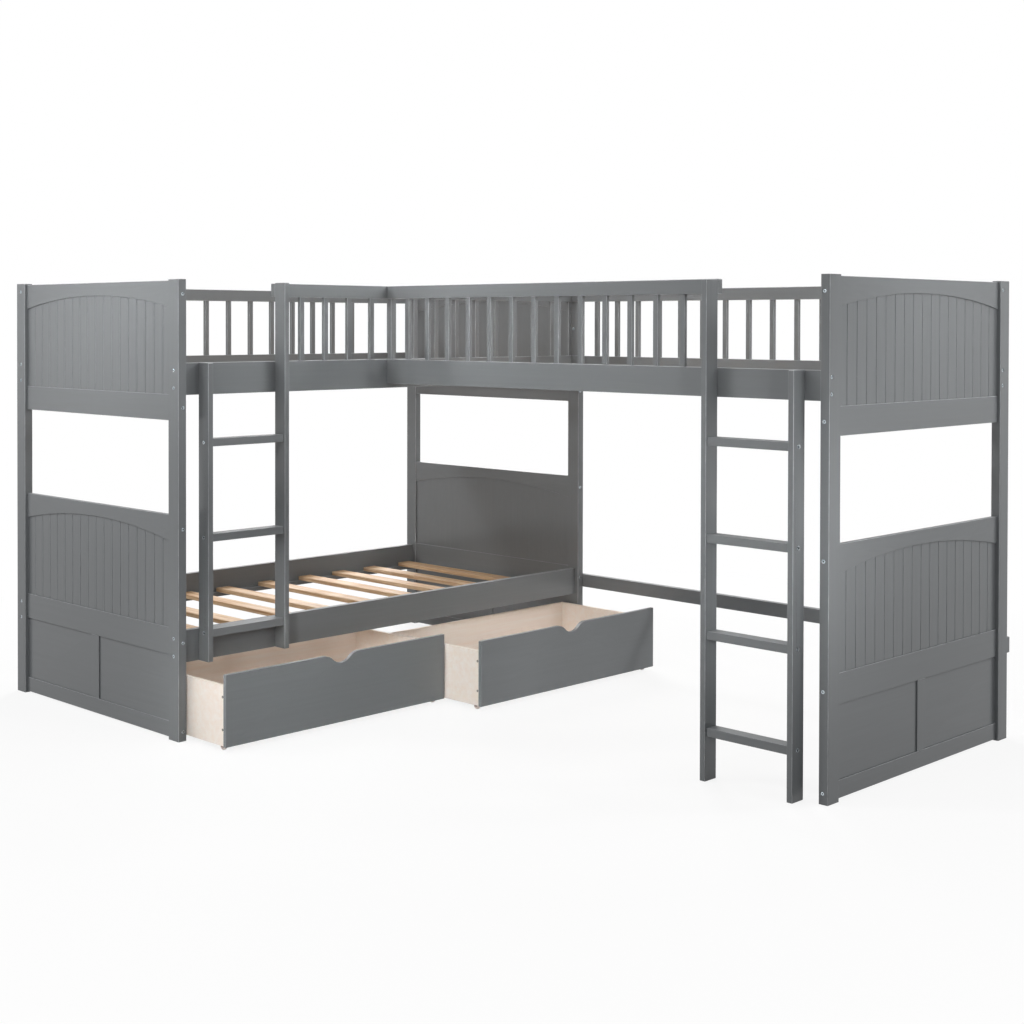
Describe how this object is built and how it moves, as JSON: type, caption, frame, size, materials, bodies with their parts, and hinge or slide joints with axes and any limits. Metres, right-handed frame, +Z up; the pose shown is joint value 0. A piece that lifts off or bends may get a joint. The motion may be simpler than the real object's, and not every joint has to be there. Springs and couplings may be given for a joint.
{
  "type": "bunk bed",
  "caption": "L-shaped grey wooden bunk bed with a loft bed at right angles, arched beadboard ends, ladders, spindle guards and rolling drawers under the lower bunk.",
  "frame": {"origin": "on the floor below the middle of the whole bed", "axes": "+X from the bunk to the loft's free end and the way the drawers pull out, +Y from the left end to the corner end, +Z up"},
  "size_m": [3.022, 2.039, 1.55],
  "materials": {
    "grey_paint": "satin grey paint",
    "pine_slats": "bare planed pine",
    "drawer_wood": "matt pale board",
    "zinc_bolts": "zinc plated",
    "caster_bracket": "matt",
    "caster_wheel": "matt"
  },
  "bodies": {
    "bed_frame": {"left_end_rear_post": "grey_paint", "left_end_front_post": "grey_paint", "left_end_arch_rails": "grey_paint", "left_end_cross_rails": "grey_paint", "left_end_beadboards": "grey_paint", "left_end_skirt_panels": "grey_paint", "left_end_skirt_muntin": "grey_paint", "corner_end_rear_post": "grey_paint", "corner_end_front_post": "grey_paint", "corner_end_arch_rails": "grey_paint", "corner_end_cross_rails": "grey_paint", "corner_end_beadboards": "grey_paint", "corner_end_skirt_panels": "grey_paint", "corner_end_skirt_muntin": "grey_paint", "right_end_rear_post": "grey_paint", "right_end_front_post": "grey_paint", "right_end_arch_rails": "grey_paint", "right_end_cross_rails": "grey_paint", "right_end_beadboards": "grey_paint", "right_end_skirt_panels": "grey_paint", "right_end_skirt_muntin": "grey_paint", "bunk_lower_front_rail": "grey_paint", "bunk_lower_rear_rail": "grey_paint", "bunk_lower_slats": "pine_slats", "bunk_upper_front_rail": "grey_paint", "bunk_upper_rear_rail": "grey_paint", "bunk_upper_slats": "pine_slats", "bunk_front_guard_rail": "grey_paint", "bunk_rear_guard_rail": "grey_paint", "bunk_front_spindles": "grey_paint", "bunk_rear_spindles": "grey_paint", "loft_front_rail": "grey_paint", "loft_rear_rail": "grey_paint", "loft_slats": "pine_slats", "loft_front_guard_rail": "grey_paint", "loft_rear_guard_rail": "grey_paint", "loft_front_spindles": "grey_paint", "loft_rear_spindles": "grey_paint", "loft_stretcher": "grey_paint", "slat_cleats": "grey_paint", "bunk_ladder_short_stile": "grey_paint", "bunk_ladder_tall_stile": "grey_paint", "bunk_ladder_rungs": "grey_paint", "loft_ladder_short_stile": "grey_paint", "loft_ladder_tall_stile": "grey_paint", "loft_ladder_rungs": "grey_paint", "frame_bolts": "zinc_bolts"},
    "left_drawer": {"left_drawer_front": "grey_paint", "left_drawer_box_walls": "drawer_wood", "left_drawer_bottom": "drawer_wood", "left_drawer_caster_brackets": "caster_bracket"},
    "left_drawer_front_wheels": {"left_drawer_front_wheels": "caster_wheel"},
    "left_drawer_back_wheels": {"left_drawer_back_wheels": "caster_wheel"},
    "right_drawer": {"right_drawer_front": "grey_paint", "right_drawer_box_walls": "drawer_wood", "right_drawer_bottom": "drawer_wood", "right_drawer_caster_brackets": "caster_bracket"},
    "right_drawer_front_wheels": {"right_drawer_front_wheels": "caster_wheel"},
    "right_drawer_back_wheels": {"right_drawer_back_wheels": "caster_wheel"}
  },
  "joints": [
    {"name": "left_drawer_slide", "type": "slide", "parent": "bed_frame", "child": "left_drawer", "axis": [1, 0, 0], "range_m": [-0.207, 0.293]},
    {"name": "left_drawer_front_wheels_spin", "type": "hinge", "parent": "left_drawer", "child": "left_drawer_front_wheels", "pos_m": [-0.245, -0.499, 0.014], "axis": [0, 1, 0], "continuous": true},
    {"name": "left_drawer_back_wheels_spin", "type": "hinge", "parent": "left_drawer", "child": "left_drawer_back_wheels", "pos_m": [-0.675, -0.499, 0.014], "axis": [0, 1, 0], "continuous": true},
    {"name": "right_drawer_slide", "type": "slide", "parent": "bed_frame", "child": "right_drawer", "axis": [1, 0, 0], "range_m": [-0.398, 0.102]},
    {"name": "right_drawer_front_wheels_spin", "type": "hinge", "parent": "right_drawer", "child": "right_drawer_front_wheels", "pos_m": [-0.054, 0.479, 0.014], "axis": [0, 1, 0], "continuous": true},
    {"name": "right_drawer_back_wheels_spin", "type": "hinge", "parent": "right_drawer", "child": "right_drawer_back_wheels", "pos_m": [-0.484, 0.479, 0.014], "axis": [0, 1, 0], "continuous": true}
  ],
  "couplings": [
    {"joint": "left_drawer_front_wheels_spin", "follows": "left_drawer_slide", "rad_per_m": 71.429},
    {"joint": "left_drawer_back_wheels_spin", "follows": "left_drawer_slide", "rad_per_m": 71.429},
    {"joint": "right_drawer_front_wheels_spin", "follows": "right_drawer_slide", "rad_per_m": 71.429},
    {"joint": "right_drawer_back_wheels_spin", "follows": "right_drawer_slide", "rad_per_m": 71.429}
  ]
}
